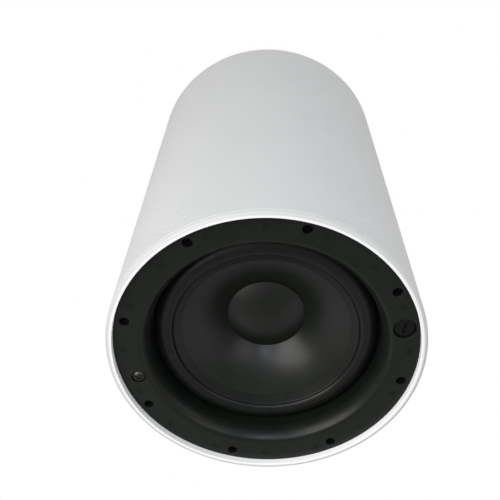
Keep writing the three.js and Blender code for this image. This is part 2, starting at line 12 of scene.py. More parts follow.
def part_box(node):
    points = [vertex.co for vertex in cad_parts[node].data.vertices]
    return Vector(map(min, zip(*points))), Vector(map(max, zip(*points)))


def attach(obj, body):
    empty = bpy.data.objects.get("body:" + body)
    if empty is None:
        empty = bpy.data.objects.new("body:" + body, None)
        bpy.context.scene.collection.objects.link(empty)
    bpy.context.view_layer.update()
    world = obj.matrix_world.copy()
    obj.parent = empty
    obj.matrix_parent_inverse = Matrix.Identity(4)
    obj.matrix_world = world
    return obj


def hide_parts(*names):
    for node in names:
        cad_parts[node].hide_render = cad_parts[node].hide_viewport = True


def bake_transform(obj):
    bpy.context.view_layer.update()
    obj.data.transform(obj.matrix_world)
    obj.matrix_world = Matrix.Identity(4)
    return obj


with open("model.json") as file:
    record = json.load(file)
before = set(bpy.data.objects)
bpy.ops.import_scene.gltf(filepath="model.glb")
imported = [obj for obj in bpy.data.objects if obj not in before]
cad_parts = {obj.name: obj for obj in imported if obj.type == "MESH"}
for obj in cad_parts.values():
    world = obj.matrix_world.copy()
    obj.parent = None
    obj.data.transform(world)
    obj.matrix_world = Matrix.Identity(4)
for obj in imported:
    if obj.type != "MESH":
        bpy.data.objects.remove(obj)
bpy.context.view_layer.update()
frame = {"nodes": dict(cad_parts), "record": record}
nodes = frame["nodes"]
scene = bpy.context.scene
MM = 0.001


# Sizes in millimetres, read from the frame

def low(node):
    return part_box(node)[0] / MM


def high(node):
    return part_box(node)[1] / MM


def centre(node):
    return (low(node) + high(node)) / 2


OUTER_R = high("perforated_sleeve").x
SLEEVE_FOOT_Z = low("perforated_sleeve").z
SLEEVE_TOP_Z = high("perforated_sleeve").z
SLEEVE_WALL = 1.2
RING_TOP_Z = high("mouth_ring").z
RING_INNER_R = 126.5
RING_LIP_Z = 3.9
FACE_Z = low("baffle").z
BAFFLE_R = high("baffle").x
SEAT_Z = high("baffle").z
BAFFLE_BACK_Z = FACE_Z + 9
BOWL_THROAT_R = 96.7
WELLS = [centre(f"baffle_screw_{i}") for i in range(1, 9)]
WELL_R = 4.2
WELL_FLOOR_Z = 12.2
DIMPLE_COUNT = 16
DIMPLE_CIRCLE_R = 116.8
TETHER = centre("tether_screw")
TETHER_HEAD_R = 5.2
TETHER_POCKET_Z = FACE_Z + 1.4
SELECTOR = centre("tap_selector")
SELECTOR_R = (high("tap_selector").x - low("tap_selector").x) / 2
SELECTOR_RECESS_R = SELECTOR_R + 0.7
SELECTOR_FACE_Z = low("tap_selector").z
SELECTOR_FLOOR_Z = FACE_Z + 3.8
CONE_RIM_R = high("cone").x
CONE_VISIBLE_R = 72
DUST_CAP_R = high("dust_cap").x
FORMER_R = high("coil_former").x


# Mesh helpers

def rounded(corners, steps=6):
    """An outline of (radius, height) points from (radius, height, fillet) corners."""
    points = []
    for i, (r, z, fillet) in enumerate(corners):
        here = Vector((r, z))
        if not fillet:
            points.append(here)
            continue
        before = (Vector(corners[i - 1][:2]) - here).normalized()
        after = (Vector(corners[(i + 1) % len(corners)][:2]) - here).normalized()
        half = before.angle(after) / 2
        middle = here + (before + after).normalized() * fillet / math.sin(half)
        start = here + before * fillet / math.tan(half) - middle
        end = here + after * fillet / math.tan(half) - middle
        first = math.atan2(start.y, start.x)
        turn = (math.atan2(end.y, end.x) - first + math.pi) % (2 * math.pi) - math.pi
        for k in range(steps + 1):
            angle = first + turn * k / steps
            points.append(middle + fillet * Vector((math.cos(angle), math.sin(angle))))
    return [(p.x, p.y) for p in points]


def revolve(outline, segments=192, at=(0, 0)):
    """A closed mesh turned about an upright axis from (radius, height) points in mm."""
    bm = bmesh.new()
    rings = []
    for r, z in outline:
        if r < 1e-6:
            rings.append([bm.verts.new((at[0] * MM, at[1] * MM, z * MM))])
            continue
        angles = [2 * math.pi * i / segments for i in range(segments)]
        rings.append([bm.verts.new(((at[0] + r * math.cos(a)) * MM,
                                    (at[1] + r * math.sin(a)) * MM, z * MM)) for a in angles])
    loops = list(zip(rings, rings[1:]))
    if len(rings[0]) > 1 or len(rings[-1]) > 1:
        loops.append((rings[-1], rings[0]))
    for a, b in loops:
        for i in range(segments):
            corners = [a[i % len(a)], a[(i + 1) % len(a)], b[(i + 1) % len(b)], b[i % len(b)]]
            unique = list(dict.fromkeys(corners))
            if len(unique) > 2:
                bm.faces.new(unique)
    return finished(bm)


def finished(bm):
    bmesh.ops.recalc_face_normals(bm, faces=bm.faces)
    mesh = bpy.data.meshes.new("work")
    bm.to_mesh(mesh)
    bm.free()
    return mesh


def rod(radius, bottom, top, at=(0, 0), chamfer=0.0, segments=48):
    """A cylinder, whose lower edge may have a chamfer."""
    outline = [(0, bottom), (radius - chamfer, bottom), (radius, bottom + chamfer),
               (radius, top), (0, top)]
    if not chamfer:
        outline.pop(1)
    return revolve(outline, segments, at)


def pit(radius, floor, face, at, flare=0.12, segments=48):
    """What is cut away for a round hole with a broken edge at the face below it."""
    return revolve([(0, face - 1), (radius + flare + 1, face - 1), (radius, face + flare),
                    (radius, floor), (0, floor)], segments, at)


def box(size, middle, turn=0.0, bevel=0.0):
    bm = bmesh.new()
    bmesh.ops.create_cube(bm, size=1)
    bmesh.ops.scale(bm, vec=Vector(size) * MM, verts=bm.verts)
    if bevel:
        bmesh.ops.bevel(bm, geom=bm.edges[:], offset=bevel * MM, segments=3, profile=0.5,
                        affect="EDGES")
    spin = Matrix.Rotation(turn, 4, "Z")
    bmesh.ops.transform(bm, matrix=Matrix.Translation(Vector(middle) * MM) @ spin,
                        verts=bm.verts)
    return finished(bm)


def plate(outline, bottom, top, bevel=0.4):
    """A flat plate from (x, y) points, with softened edges."""
    bm = bmesh.new()
    face = bm.faces.new([bm.verts.new((x * MM, y * MM, bottom * MM)) for x, y in outline])
    raised = bmesh.ops.extrude_face_region(bm, geom=[face])["geom"]
    moved = [g for g in raised if isinstance(g, bmesh.types.BMVert)]
    bmesh.ops.translate(bm, vec=(0, 0, (top - bottom) * MM), verts=moved)
    rims = [e for e in bm.edges if abs(e.verts[0].co.z - e.verts[1].co.z) < 1e-7]
    bmesh.ops.bevel(bm, geom=rims, offset=bevel * MM, segments=3, profile=0.5, affect="EDGES")
    return finished(bm)


def panel(length, width, corner, middle=(0, 0), steps=8):
    """The (x, y) points of a rectangle with rounded corners."""
    points = []
    for k, (sx, sy) in enumerate([(1, 1), (-1, 1), (-1, -1), (1, -1)]):
        x = middle[0] + sx * (length / 2 - corner)
        y = middle[1] + sy * (width / 2 - corner)
        for i in range(steps + 1):
            angle = math.pi / 2 * (k + i / steps)
            points.append((x + corner * math.cos(angle), y + corner * math.sin(angle)))
    return points


def torus(middle, major, minor, segments=72, sides=28):
    """A ring of round wire that stands upright, with its hole facing along Y."""
    bm = bmesh.new()
    rings = []
    for i in range(segments):
        a = 2 * math.pi * i / segments
        spots = []
        for k in range(sides):
            b = 2 * math.pi * k / sides
            out = major + minor * math.cos(b)
            at = (middle[0] + out * math.cos(a), middle[1] + minor * math.sin(b),
                  middle[2] + out * math.sin(a))
            spots.append(bm.verts.new(Vector(at) * MM))
        rings.append(spots)
    for i in range(segments):
        a, b = rings[i], rings[(i + 1) % segments]
        for k in range(sides):
            after = (k + 1) % sides
            bm.faces.new((a[k], a[after], b[after], b[k]))
    return finished(bm)


def wire(points, radius):
    """A round wire that runs smoothly through points given in metres."""
    curve = bpy.data.curves.new("work", "CURVE")
    curve.dimensions = "3D"
    curve.bevel_depth = radius * MM
    curve.bevel_resolution = 3
    curve.use_fill_caps = True
    spline = curve.splines.new("BEZIER")
    spline.bezier_points.add(len(points) - 1)
    for point, spot in zip(spline.bezier_points, points):
        point.co = spot
        point.handle_left_type = point.handle_right_type = "AUTO"
    helper = bpy.data.objects.new("work", curve)
    scene.collection.objects.link(helper)
    mesh = bpy.data.meshes.new_from_object(helper)
    bpy.data.objects.remove(helper)
    return mesh


def merged(meshes):
    bm = bmesh.new()
    for mesh in meshes:
        bm.from_mesh(mesh)
    return finished(bm)


def boolean(mesh, tools, operation):
    """mesh after each tool mesh has been cut from it or joined to it."""
    body = bpy.data.objects.new("work", mesh)
    scene.collection.objects.link(body)
    helpers = []
    for tool in tools:
        helper = bpy.data.objects.new("tool", tool)
        scene.collection.objects.link(helper)
        helper.hide_render = True
        helpers.append(helper)
        step = body.modifiers.new("step", "BOOLEAN")
        step.object = helper
        step.operation = operation
        step.solver = "EXACT"
    graph = bpy.context.evaluated_depsgraph_get()
    result = bpy.data.meshes.new_from_object(body.evaluated_get(graph))
    for used in [body, *helpers]:
        bpy.data.objects.remove(used)
    return result


def cut(mesh, *tools):
    return boolean(mesh, tools, "DIFFERENCE")


def join(mesh, *tools):
    return boolean(mesh, tools, "UNION")


def piece(name, mesh, material, body="housing", stands_for=(), crease=32):
    """A finished piece of the object that rides on a body."""
    obj = bpy.data.objects.new(name, mesh)
    scene.collection.objects.link(obj)
    mesh.name = name
    mesh.materials.clear()
    mesh.materials.append(material)
    mesh.polygons.foreach_set("material_index", [0] * len(mesh.polygons))
    mesh.shade_smooth()
    mesh.set_sharp_from_angle(angle=math.radians(crease))
    smooth = obj.modifiers.new("even_normals", "WEIGHTED_NORMAL")
    smooth.keep_sharp = True
    if stands_for:
        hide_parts(*stands_for)
    if body:
        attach(obj, body)
    return obj


# Materials

class Shader:
    """A material's nodes, with short calls to add and link them."""

    def __init__(self, name):
        self.material = bpy.data.materials.new(name)
        self.material.use_nodes = True
        self.tree = self.material.node_tree
        self.surface = self.tree.nodes["Principled BSDF"]

    def put(self, socket, value):
        if isinstance(value, bpy.types.NodeSocket):
            self.tree.links.new(value, socket)
        else:
            socket.default_value = value

    def node(self, kind, output=0, inputs=None, **settings):
        made = self.tree.nodes.new(kind)
        for key, value in settings.items():
            setattr(made, key, value)
        for key, value in (inputs or {}).items():
            self.put(made.inputs[key], value)
        return made.outputs[output]

    def math(self, operation, *values):
        return self.node("ShaderNodeMath", inputs=dict(enumerate(values)), operation=operation)

    def place(self):
        return self.node("ShaderNodeTexCoord", "Object")

    def parts_of_place(self):
        """The x, y and z of the place, in metres."""
        return self.node("ShaderNodeSeparateXYZ", inputs={"Vector": self.place()}).node.outputs

    def noise(self, size_mm, detail=3.0, place=None):
        scale = 1 / (size_mm * MM)
        inputs = {"Vector": place or self.place(), "Scale": scale, "Detail": detail}
        return self.node("ShaderNodeTexNoise", "Fac", inputs)

    def ramp(self, value, start, end, low_end=0.0, high_end=1.0):
        inputs = {"Value": value, "From Min": start, "From Max": end, "To Min": low_end,
                  "To Max": high_end}
        return self.node("ShaderNodeMapRange", inputs=inputs)

    def mix(self, share, first, second):
        made = self.tree.nodes.new("ShaderNodeMix")
        made.data_type = "RGBA"
        self.put(made.inputs["Factor"], share)
        self.put(made.inputs[6], first)
        self.put(made.inputs[7], second)
        return made.outputs[2]

    def bump(self, height, strength, distance_mm, onto=None):
        inputs = {"Height": height, "Strength": strength, "Distance": distance_mm * MM}
        if onto is not None:
            inputs["Normal"] = onto
        return self.node("ShaderNodeBump", inputs=inputs)

    def set(self, **values):
        for key, value in values.items():
            self.put(self.surface.inputs[key.replace("_", " ")], value)


def shade(color, factor):
    return (*(min(1.0, c * factor) for c in color), 1)


def magnet_seats(s):
    """A mask that is 1 over the seats in the baffle's face and 0 between them."""
    x, y, _ = s.parts_of_place()
    seats = s.math("MULTIPLY", s.math("ARCTAN2", y, x), DIMPLE_COUNT / (2 * math.pi))
    share = s.math("SUBTRACT", s.math("FRACT", s.math("ADD", seats, 500.5)), 0.5)
    across = s.math("MULTIPLY", share, 2 * math.pi * DIMPLE_CIRCLE_R / DIMPLE_COUNT)
    squares = s.math("ADD", s.math("MULTIPLY", x, x), s.math("MULTIPLY", y, y))
    radius = s.math("DIVIDE", s.math("SQRT", squares), MM)
    out = s.math("SUBTRACT", radius, DIMPLE_CIRCLE_R)
    squares = s.math("ADD", s.math("MULTIPLY", across, across), s.math("MULTIPLY", out, out))
    return s.ramp(s.math("SQRT", squares), 4.8, 2.4)


def moulded(name, color, roughness, specular=0.5, metallic=0.0, tint=0.06, patch_mm=25,
            grain_mm=0.5, grain=0.25, depth_mm=0.03, spread=0.06, dull=None):
    """A material with slow colour drift, uneven gloss and a fine raised grain. It is less
    glossy where the dull mask is 1."""
    s = Shader(name)
    drift = s.ramp(s.noise(patch_mm), 0.3, 0.7)
    s.set(Base_Color=s.mix(drift, shade(color, 1 - tint), shade(color, 1 + tint)))
    gloss = s.ramp(s.noise(patch_mm / 4, 4), 0.3, 0.7, roughness - spread, roughness + spread)
    s.set(Roughness=gloss, Metallic=metallic, Specular_IOR_Level=specular)
    if dull:
        s.set(Specular_IOR_Level=s.ramp(dull(s), 0, 1, specular, specular * 0.7))
    s.set(Normal=s.bump(s.noise(grain_mm, 2), grain, depth_mm))
    return s.material


def perforated(name, color, columns, row_mm, hole_mm, foot_mm, top_mm):
    """Painted sheet with staggered round holes and plain margins at both ends. The holes are
    coloured darker as painted shade of the dim inside seen through them.
    """
    s = Shader(name)
    x, y, z = s.parts_of_place()
    around = s.math("MULTIPLY", s.math("ARCTAN2", y, x), columns / (2 * math.pi))
    along = s.math("DIVIDE", z, row_mm * MM)
    column_mm = 2 * math.pi * OUTER_R / columns

    def distance(shift):
        across = s.math("SUBTRACT", s.math("FRACT", s.math("ADD", around, shift + 500)), 0.5)
        up = s.math("SUBTRACT", s.math("FRACT", s.math("ADD", along, shift)), 0.5)
        wide = s.math("MULTIPLY", across, column_mm)
        tall = s.math("MULTIPLY", up, row_mm)
        squares = s.math("ADD", s.math("MULTIPLY", wide, wide), s.math("MULTIPLY", tall, tall))
        return s.math("SQRT", squares)

    nearest = s.math("MINIMUM", distance(0.0), distance(0.5))
    hole = s.ramp(nearest, hole_mm / 2 + 0.08, hole_mm / 2 - 0.08)
    height = s.math("DIVIDE", z, MM)
    inside = s.math("MULTIPLY", s.math("GREATER_THAN", height, foot_mm),
                    s.math("LESS_THAN", height, top_mm))
    hole = s.math("MULTIPLY", hole, inside)
    drift = s.ramp(s.noise(60), 0.3, 0.7)
    paint = s.mix(drift, shade(color, 0.97), shade(color, 1.03))
    # painted shade: the holes get 0.55 of the paint colour
    s.set(Base_Color=s.mix(hole, paint, shade(color, 0.55)))
    s.set(Roughness=s.ramp(s.noise(8, 4), 0.3, 0.7, 0.5, 0.62), Specular_IOR_Level=0.35)
    orange_peel = s.bump(s.noise(0.7, 2), 0.15, 0.02)
    s.set(Normal=s.bump(s.math("SUBTRACT", 1.0, hole), 0.5, 0.25, onto=orange_peel))
    return s.material


def ring_paint_with_painted_light_and_shade(name, color):
    """Satin paint in its own colour on the ring's flat face, with painted shade that darkens the
    outer round and painted light that brightens the inner wall.
    """
    s = Shader(name)
    x, y, _ = s.parts_of_place()
    squares = s.math("ADD", s.math("MULTIPLY", x, x), s.math("MULTIPLY", y, y))
    radius = s.math("SQRT", squares)
    # Masks for the outer round, darkened as painted shade, and for the inner wall, brightened as
    # painted light
    outer = s.ramp(radius, (OUTER_R - 3.9) * MM, (OUTER_R - 2.3) * MM)
    inner = s.ramp(radius, (RING_INNER_R + 0.6) * MM, (RING_INNER_R + 0.2) * MM)
    drift = s.ramp(s.noise(30), 0.3, 0.7)
    paint = s.mix(drift, shade(color, 0.985), shade(color, 1.01))
    # painted light: the inner wall is 12 percent brighter than the paint
    paint = s.mix(inner, paint, shade(color, 1.12))
    # painted shade: the outer round is darkened to 0.64 of the paint colour
    s.set(Base_Color=s.mix(outer, paint, shade(color, 0.64)), Specular_IOR_Level=0.4)
    s.set(Roughness=s.ramp(s.noise(8, 4), 0.3, 0.7, 0.38, 0.5))
    s.set(Normal=s.bump(s.noise(0.8, 2), 0.12, 0.02))
    return s.material


def brushed(name, color, roughness, grain_mm=0.25, metallic=1.0):
    """Bare or plated metal with fine scratches and slightly uneven gloss."""
    s = Shader(name)
    stretch = s.node("ShaderNodeMapping", inputs={"Vector": s.place(), "Scale": (1, 12, 1)})
    scratch = s.noise(grain_mm * 6, 5, stretch)
    drift = s.ramp(s.noise(18), 0.3, 0.7)
    s.set(Base_Color=s.mix(drift, shade(color, 0.88), shade(color, 1.08)), Metallic=metallic)
    s.set(Roughness=s.ramp(scratch, 0.3, 0.7, roughness - 0.08, roughness + 0.1))
    s.set(Normal=s.bump(scratch, 0.12, 0.02))
    return s.material


def woven(name, color, pitch_mm):
    """Coarse cloth: two crossed sets of threads."""
    s = Shader(name)
    place = s.place()
    warp = s.node("ShaderNodeTexWave", "Fac", {"Vector": place, "Scale": 0.5 / (pitch_mm * MM)},
                  bands_direction="X")
    weft = s.node("ShaderNodeTexWave", "Fac", {"Vector": place, "Scale": 0.5 / (pitch_mm * MM)},
                  bands_direction="Y")
    weave = s.math("MAXIMUM", warp, weft)
    # painted shade: the colour is darker where the bump is low, in the gaps between threads
    s.set(Base_Color=s.mix(weave, shade(color, 0.6), shade(color, 1.1)), Roughness=0.85)
    s.set(Normal=s.bump(weave, 0.5, 0.2))
    return s.material


def wound(name, color, pitch_mm, metallic=0.9):
    """Turns of wire or tape stacked along the axis."""
    s = Shader(name)
    turns = s.node("ShaderNodeTexWave", "Fac",
                   {"Vector": s.place(), "Scale": 0.5 / (pitch_mm * MM), "Distortion": 0.4},
                   bands_direction="Z")
    # painted shade: the colour is darker where the bump is low, in the grooves between turns
    s.set(Base_Color=s.mix(turns, shade(color, 0.5), shade(color, 1.1)), Metallic=metallic)
    s.set(Roughness=s.ramp(s.noise(3), 0.3, 0.7, 0.3, 0.45))
    s.set(Normal=s.bump(turns, 0.6, 0.15))
    return s.material


# This material carries painted shade on the ring's outer round and painted light on its inner wall
white_trim = ring_paint_with_painted_light_and_shade("white_trim", (0.86, 0.86, 0.855))
white_mesh = perforated("white_mesh", (0.86, 0.86, 0.86), 480, 1.9, 1.1,
                        SLEEVE_FOOT_Z + 0.4, SLEEVE_TOP_Z - 3)
white_shell = moulded("white_shell", (0.72, 0.72, 0.70), 0.55, tint=0.03, grain_mm=0.9)
GRAINED_BLACK = {"color": (0.0062, 0.0080, 0.0060), "roughness": 0.34, "specular": 0.25,
                 "tint": 0.15, "grain_mm": 0.55, "grain": 0.3, "depth_mm": 0.03, "spread": 0.04}
black_plastic = moulded("black_plastic", **GRAINED_BLACK)
black_face = moulded("black_face", **GRAINED_BLACK, dull=magnet_seats)
black_knob = moulded("black_knob", (0.0055, 0.0066, 0.0055), 0.45, specular=0.1, grain_mm=0.3,
                     grain=0.1, spread=0.03)
black_rubber = moulded("black_rubber", (0.0054, 0.0067, 0.0054), 0.37, specular=0.25, tint=0.2,
                       patch_mm=12, grain_mm=0.8, grain=0.12, depth_mm=0.02, spread=0.04)
black_cone = moulded("black_cone", (0.0050, 0.0066, 0.0048), 0.36, specular=0.36, tint=0.1,
                     patch_mm=40, grain_mm=1.4, grain=0.08, depth_mm=0.03, spread=0.02)
black_foam = moulded("black_foam", (0.02, 0.02, 0.02), 0.9, grain_mm=0.8, grain=0.8,
                     depth_mm=0.3)
black_steel = moulded("black_steel", (0.005, 0.005, 0.005), 0.42, specular=0.16, metallic=0.05,
                      grain_mm=0.3, grain=0.15)
bright_steel = brushed("bright_steel", (0.72, 0.72, 0.7), 0.22)
# painted shade: a copy of the steel darkened to a near-black base colour, worn by the tether screw
painted_shade_steel = brushed("painted_shade_steel", (0.042, 0.042, 0.04), 0.22, metallic=0.9)
zinc_steel = brushed("zinc_steel", (0.5, 0.51, 0.5), 0.36)
ferrite = moulded("ferrite", (0.05, 0.05, 0.055), 0.7, tint=0.3, grain_mm=0.5, grain=0.5,
                  depth_mm=0.08)
copper = wound("copper", (0.55, 0.24, 0.1), 0.5)
spider_cloth = woven("spider_cloth", (0.5, 0.28, 0.1), 0.9)
former_paper = moulded("former_paper", (0.34, 0.22, 0.1), 0.7, tint=0.15, patch_mm=4)
lamination = wound("lamination", (0.14, 0.15, 0.16), 0.6, 0.7)
coil_tape = wound("coil_tape", (0.62, 0.42, 0.08), 5.0, 0.0)
board_green = moulded("board_green", (0.02, 0.12, 0.045), 0.4, tint=0.2, patch_mm=6)
capacitor_film = moulded("capacitor_film", (0.03, 0.06, 0.18), 0.3, tint=0.1)
wadding = moulded("wadding", (0.72, 0.7, 0.64), 0.95, tint=0.1, patch_mm=8, grain_mm=2.5,
                  grain=1.0, depth_mm=1.5)
lead_sheath = moulded("lead_sheath", (0.02, 0.02, 0.02), 0.45, tint=0.15, grain_mm=1.2)
connector_green = moulded("connector_green", (0.03, 0.22, 0.08), 0.4, tint=0.08)

SLOTS = {
    "white_trim": white_trim, "white_mesh": white_mesh, "white_shell": white_shell,
    "black_plastic": black_plastic, "black_rubber": black_rubber, "black_cone": black_cone,
    "black_foam": black_foam, "black_steel": black_steel, "bright_steel": bright_steel,
    "zinc_steel": zinc_steel, "ferrite": ferrite, "copper": copper,
    "spider_cloth": spider_cloth, "former_paper": former_paper, "lamination": lamination,
    "coil_tape": coil_tape, "board_green": board_green, "capacitor_film": capacitor_film,
    "wadding": wadding, "lead_sheath": lead_sheath, "connector_green": connector_green,
}


def dress_frame():
    """Gives every CAD node that stays its own slot's material."""
    for part in frame["record"]["subparts"]:
        node = nodes[part["node"]]
        node.data.materials.clear()
        node.data.materials.append(SLOTS[part["material_slot"]])


# Outer skin

def outer_skin():
    ring = rounded([
        (RING_INNER_R, 0, 0.7),
        (OUTER_R, 0, 3.6),
        (OUTER_R, RING_LIP_Z, 0.15),
        (OUTER_R - SLEEVE_WALL - 0.3, RING_LIP_Z, 0),
        (OUTER_R - SLEEVE_WALL - 0.3, RING_TOP_Z, 0.5),
        (RING_INNER_R, RING_TOP_Z, 0.5),
    ])
    piece("mouth_ring_moulding", revolve(ring, 256), white_trim,
          stands_for=["mouth_ring"])
    sleeve = rounded([
        (OUTER_R - SLEEVE_WALL, SLEEVE_FOOT_Z, 0.1),
        (OUTER_R, SLEEVE_FOOT_Z, 0.1),
        (OUTER_R, SLEEVE_TOP_Z, 0.5),
        (OUTER_R - SLEEVE_WALL, SLEEVE_TOP_Z, 0.5),
    ], 4)
    height = SLEEVE_TOP_Z - SLEEVE_FOOT_Z
    seam = box((0.5, 1.1, height + 2), (0, OUTER_R, SLEEVE_FOOT_Z + height / 2))
    piece("sleeve_sheet", cut(revolve(sleeve, 256), seam), white_mesh,
          stands_for=["perforated_sleeve"])


# Baffle and what is on it

def bowl():
    """The bowl's wall: a tight arc at the lip, then a long one down to the throat."""
    lip_r, tight, wide = 105.9, 5.5, 19.9
    lip_turn, turn = math.radians(48), math.radians(86)
    points = []
    for i in range(13):
        angle = lip_turn * i / 12
        points.append((lip_r - tight * math.sin(angle), FACE_Z + tight * (1 - math.cos(angle))))
    start_r, start_z = points[-1]
    for i in range(1, 15):
        angle = lip_turn + (turn - lip_turn) * i / 14
        points.append((start_r - wide * (math.sin(angle) - math.sin(lip_turn)),
                       start_z + wide * (math.cos(lip_turn) - math.cos(angle))))
    return points


def dish(radius, depth, at):
    """What is cut away for a shallow round seat with a soft edge in the baffle's face."""
    outline = [(0, FACE_Z - 1), (radius + 0.4, FACE_Z - 1), (radius + 0.4, FACE_Z - 0.005)]
    for i in range(9):
        share = i / 8
        outline.append((radius * (1 - 0.45 * share), FACE_Z + depth * (3 - 2 * share) * share ** 2))
    outline.append((0, FACE_Z + depth))
    return revolve(outline, 48, at)


def baffle():
    body = revolve(rounded([
        (BAFFLE_R, FACE_Z, 0.2),
        *((r, z, 0) for r, z in bowl()),
        (BOWL_THROAT_R, SEAT_Z, 0.4),
        (107, SEAT_Z, 0.5),
        (107, 27, 0.5),
        (100.6, 27, 0.8),
        (104.5, BAFFLE_BACK_Z, 1.5),
        (BAFFLE_R, BAFFLE_BACK_Z, 0.5),
    ], 10), 256)
    pits = [pit(WELL_R, WELL_FLOOR_Z, FACE_Z, at) for at in WELLS]
    for i in range(DIMPLE_COUNT):
        angle = 2 * math.pi * i / DIMPLE_COUNT
        at = (DIMPLE_CIRCLE_R * math.cos(angle), DIMPLE_CIRCLE_R * math.sin(angle))
        pits.append(dish(4.2, 0.2, at))
    pits.append(pit(SELECTOR_RECESS_R, SELECTOR_FLOOR_Z, FACE_Z, SELECTOR, segments=72))
    pits.append(pit(TETHER_HEAD_R + 1.1, TETHER_POCKET_Z, FACE_Z, TETHER))
    holes = [rod(2.4, WELL_FLOOR_Z - 1, BAFFLE_BACK_Z + 1, at, segments=24) for at in WELLS]
    holes.append(rod(2.9, FACE_Z + 1, BAFFLE_BACK_Z + 1, TETHER, segments=24))
    holes.append(revolve([(0, FACE_Z + 1), (3.4, FACE_Z + 1), (3.4, BAFFLE_BACK_Z),
                          (8.6, BAFFLE_BACK_Z), (8.6, SEAT_Z + 1), (0, SEAT_Z + 1)], 48,
                         SELECTOR))
    piece("baffle_moulding", cut(body, merged(pits), merged(holes)), black_face,
          stands_for=["baffle"])


def baffle_screws():
    for i, at in enumerate(WELLS, 1):
        foot = low(f"baffle_screw_{i}").z
        top = high(f"baffle_screw_{i}").z
        head_top = WELL_FLOOR_Z - 0.3
        outline = rounded([(0, foot, 0), (3.5, foot, 0.5), (3.5, head_top, 0.2),
                           (2, head_top, 0), (2, top, 0.5), (0, top, 0)], 3)
        socket = revolve([(0, foot - 1), (1.9, foot - 1), (1.9, foot + 2.2), (0, foot + 2.6)],
                         6, at)
        piece(f"socket_screw_{i}", cut(revolve(outline, 40, at), socket), black_steel,
              stands_for=[f"baffle_screw_{i}"])


def tether_screw():
    foot, top = low("tether_screw").z, high("tether_screw").z
    under = TETHER_POCKET_Z - 0.3
    outline = rounded([(0, foot, 0), (3.2, foot + 0.3, 3.5), (TETHER_HEAD_R, foot + 2.2, 0.3),
                       (TETHER_HEAD_R, under, 0.2), (2.5, under, 0), (2.5, top, 0.5),
                       (0, top, 0)], 6)
    turn = math.radians(20)
    cross = [box((5.6, 1.3, 2.4), (TETHER.x, TETHER.y, foot + 0.3), turn),
             box((1.3, 5.6, 2.4), (TETHER.x, TETHER.y, foot + 0.3), turn)]
    # the tether screw wears the darkened copy of the steel, as painted shade
    piece("tether_screw_steel", cut(revolve(outline, 48, TETHER), *cross), painted_shade_steel,
          stands_for=["tether_screw"])


def tap_selector():
    under = SELECTOR_FLOOR_Z - 0.3
    top = high("tap_selector").z
    outline = rounded([(0, SELECTOR_FACE_Z, 0), (SELECTOR_R, SELECTOR_FACE_Z, 0.6),
                       (SELECTOR_R, under, 0.2), (3, under, 0), (3, top, 0.3), (0, top, 0)], 4)
    turn = math.radians(8.5)
    slot = box((2.2, 10.6, 2.6), (SELECTOR.x, SELECTOR.y, SELECTOR_FACE_Z + 0.2), turn)
    tip = Matrix.Rotation(turn, 2) @ Vector((0, 7.6))
    mark = box((1, 2.4, 1), (SELECTOR.x + tip.x, SELECTOR.y + tip.y, SELECTOR_FACE_Z + 0.1), turn)
    piece("tap_selector_disc", cut(revolve(outline, 72, SELECTOR), slot, mark), black_knob,
          body="selector", stands_for=["tap_selector"])


# Top: cap, hanging hardware and signal inlet

CAP_FLOOR_Z = low("hang_plate").z - 0.3
CAP_UNDER_Z = CAP_FLOOR_Z - 8
CAP_RIM_INNER_R = 123.9
INLET = centre("inlet_plate")
HEADER = centre("inlet_header")
GLAND = centre("cable_gland")
EYES = {name: centre(f"{name}_bolt") for name in ("load_eye_left", "safety_eye", "load_eye_right")}


def top_cap():
    rim = high("top_cap")
    seat_z = high("cabinet_shell").z + 0.3
    body = revolve(rounded([
        (0, CAP_UNDER_Z, 0),
        (124.4, CAP_UNDER_Z, 1.0),
        (124.4, seat_z, 0),
        (rim.x, seat_z, 0.4),
        (rim.x, rim.z, 0.8),
        (CAP_RIM_INNER_R, rim.z, 0.8),
        (CAP_RIM_INNER_R, CAP_FLOOR_Z, 2.5),
        (0, CAP_FLOOR_Z, 0),
    ], 8), 192)
    board = centre("filter_board")
    half = high("filter_board") - board
    posts = [rod(4, low("top_cap").z, CAP_UNDER_Z + 1,
                 (board.x + sx * (half.x - 6), board.y + sy * (half.y - 6)), segments=32)
             for sx in (-1, 1) for sy in (-1, 1)]
    holes = [rod(4.5, 390, 410, at, segments=32) for at in EYES.values()]
    holes.append(rod(6.5, 390, 410, GLAND, segments=40))
    holes.append(box((46, 20, 20), (HEADER.x, HEADER.y, 401), bevel=0.8))
    piece("cap_moulding", cut(join(body, merged(posts)), merged(holes)), white_shell,
          stands_for=["top_cap"])


def hang_plate():
    bottom, top = low("hang_plate"), high("hang_plate")
    body = plate(panel(top.x - bottom.x, top.y - bottom.y, 16), bottom.z, top.z, 0.6)
    holes = [rod(4.5, 390, 420, at, segments=32) for at in EYES.values()]
    piece("hang_plate_steel", cut(body, merged(holes)), zinc_steel,
          stands_for=["hang_plate"])


def eye_bolts():
    base = high("hang_plate").z + 0.3
    wire, major = 4, 14
    for name, at in EYES.items():
        foot, crown = low(f"{name}_bolt").z, high(f"{name}_bolt").z
        eye = torus((at.x, at.y, crown - major - wire), major, wire)
        collar = revolve(rounded([(0, base, 0), (9, base, 0.4), (9, base + 3.7, 1.4),
                                  (0, base + 3.7, 0)], 5), 56, at)
        shank = revolve(rounded([(0, foot, 0), (4, foot, 0.8), (4, base + 1, 0),
                                 (0, base + 1, 0)], 3), 40, at)
        piece(f"{name}_forging", join(eye, collar, shank), zinc_steel,
              stands_for=[f"{name}_bolt"])


